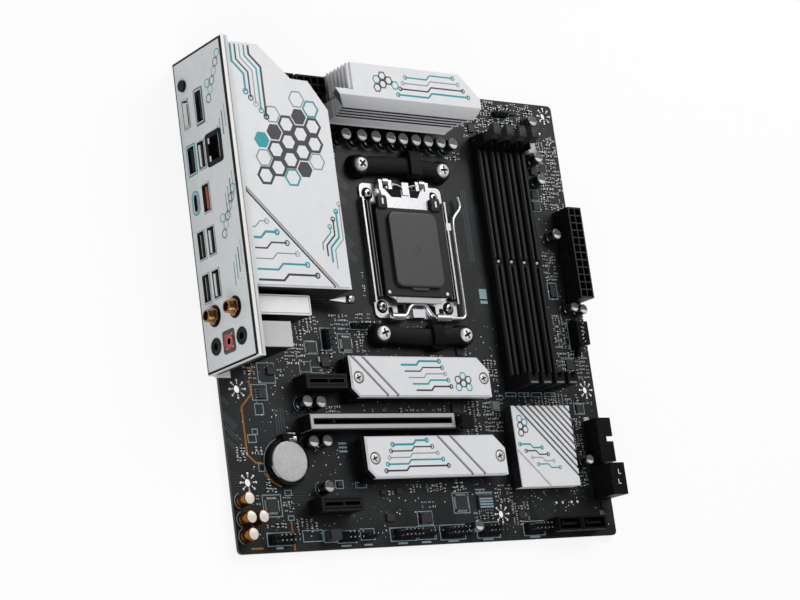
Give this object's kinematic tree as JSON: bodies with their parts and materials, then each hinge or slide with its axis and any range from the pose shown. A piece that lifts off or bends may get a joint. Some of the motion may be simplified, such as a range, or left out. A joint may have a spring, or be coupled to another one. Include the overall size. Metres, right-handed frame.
{
  "type": "computer main board",
  "caption": "Small square computer main board with a lever-held processor socket, latched memory slots, card slots, painted heatsinks and a rear port panel.",
  "frame": {"origin": "under the middle of the whole part, on the level that it rests on", "axes": "+X from the rear ports to the power edge, +Y from the header edge to the processor edge, +Z out of the component side"},
  "size_m": [0.252, 0.2454, 0.0444],
  "materials": {
    "board_laminate": "satin black solder mask on glass laminate",
    "white_paint": "fine satin white paint on aluminium",
    "dark_aluminium": "black anodised",
    "steel_sheet": "stamped, bright",
    "screw_steel": "nickel plated",
    "black_plastic": "moulded, satin",
    "grey_plastic": "moulded, satin",
    "white_plastic": "satin",
    "gold_contact": "gold plated",
    "ferrite": "matt grey pressed powder",
    "can_aluminium": "bright can",
    "gold_can": "satin gold can",
    "soft_pad": "soft silicone",
    "cell_steel": "brushed stainless can",
    "chip_epoxy": "matt epoxy"
  },
  "bodies": {
    "board": {"pcb": "board_laminate", "socket_backplate": "steel_sheet", "socket_base": "black_plastic", "socket_contacts": "gold_contact", "socket_frame": "steel_sheet", "socket_screws": "screw_steel", "cooler_bracket_upper": "black_plastic", "cooler_bracket_lower": "black_plastic", "bracket_screws": "screw_steel", "io_cover": "white_paint", "vrm_heatsink_left": "dark_aluminium", "vrm_heatsink_upper": "white_paint", "heatsink_screws": "screw_steel", "thermal_pads": "soft_pad", "vrm_chokes": "ferrite", "polymer_capacitors": "can_aluminium", "audio_capacitors": "gold_can", "dimm_slot_1": "black_plastic", "dimm_slot_2": "black_plastic", "dimm_slot_3": "black_plastic", "dimm_slot_4": "black_plastic", "card_slot_upper": "black_plastic", "card_slot_long": "black_plastic", "card_slot_armor": "steel_sheet", "card_slot_lower": "black_plastic", "drive_heatsink_upper": "white_paint", "drive_heatsink_lower": "white_paint", "drive_screws": "screw_steel", "drive_sockets": "black_plastic", "drive_standoffs": "screw_steel", "chipset_heatsink": "white_paint", "board_chips": "chip_epoxy", "main_power_housing": "black_plastic", "cpu_power_housings": "black_plastic", "power_pins": "gold_contact", "rear_panel": "steel_sheet", "video_port_stack": "steel_sheet", "lan_port_stack": "steel_sheet", "round_port_stack": "steel_sheet", "usb_port_stacks": "steel_sheet", "audio_jack_block": "white_plastic", "wifi_module": "white_plastic", "antenna_connectors": "gold_contact", "update_switch": "black_plastic", "usb_header": "black_plastic", "drive_port_stack": "black_plastic", "drive_ports_lower": "black_plastic", "pin_headers": "black_plastic", "header_pins": "gold_contact", "battery_holder": "black_plastic"},
    "load_plate": {"load_plate": "steel_sheet"},
    "load_lever": {"load_lever": "steel_sheet"},
    "socket_cap": {"socket_cap": "black_plastic"},
    "card_latch": {"card_latch": "black_plastic"},
    "coin_cell": {"coin_cell": "cell_steel"},
    "update_button": {"update_button": "black_plastic"},
    "dimm_latch_1": {"dimm_latch_1": "grey_plastic"},
    "dimm_latch_2": {"dimm_latch_2": "grey_plastic"},
    "dimm_latch_3": {"dimm_latch_3": "grey_plastic"},
    "dimm_latch_4": {"dimm_latch_4": "grey_plastic"}
  },
  "joints": [
    {"name": "load_plate_hinge", "type": "hinge", "parent": "board", "child": "load_plate", "pos_m": [0.00848, 0.06727, 0.00726], "axis": [-1, 0, 0], "range_deg": [0, 100]},
    {"name": "load_lever_hinge", "type": "hinge", "parent": "board", "child": "load_lever", "pos_m": [0.00848, -0.00533, 0.00706], "axis": [1, 0, 0], "range_deg": [0, 125]},
    {"name": "socket_cap_lift", "type": "slide", "parent": "load_plate", "child": "socket_cap", "axis": [0, 0, 1], "range_m": [0, 0.012]},
    {"name": "dimm_latch_1_hinge", "type": "hinge", "parent": "board", "child": "dimm_latch_1", "pos_m": [0.06528, 0.09482, 0.0078], "axis": [-1, 0, 0], "range_deg": [0, 35]},
    {"name": "dimm_latch_2_hinge", "type": "hinge", "parent": "board", "child": "dimm_latch_2", "pos_m": [0.0744, 0.09482, 0.0078], "axis": [-1, 0, 0], "range_deg": [0, 35]},
    {"name": "dimm_latch_3_hinge", "type": "hinge", "parent": "board", "child": "dimm_latch_3", "pos_m": [0.08352, 0.09482, 0.0078], "axis": [-1, 0, 0], "range_deg": [0, 35]},
    {"name": "dimm_latch_4_hinge", "type": "hinge", "parent": "board", "child": "dimm_latch_4", "pos_m": [0.09264, 0.09482, 0.0078], "axis": [-1, 0, 0], "range_deg": [0, 35]},
    {"name": "card_latch_hinge", "type": "hinge", "parent": "board", "child": "card_latch", "pos_m": [0.01858, -0.06123, 0.0072], "axis": [0, 1, 0], "range_deg": [0, 12]},
    {"name": "coin_cell_lift", "type": "slide", "parent": "board", "child": "coin_cell", "axis": [0, 0, 1], "range_m": [0, 0.01]},
    {"name": "update_button_press", "type": "slide", "parent": "board", "child": "update_button", "axis": [1, 0, 0], "range_m": [0, 0.001], "stiffness_N_per_m": 2000}
  ]
}
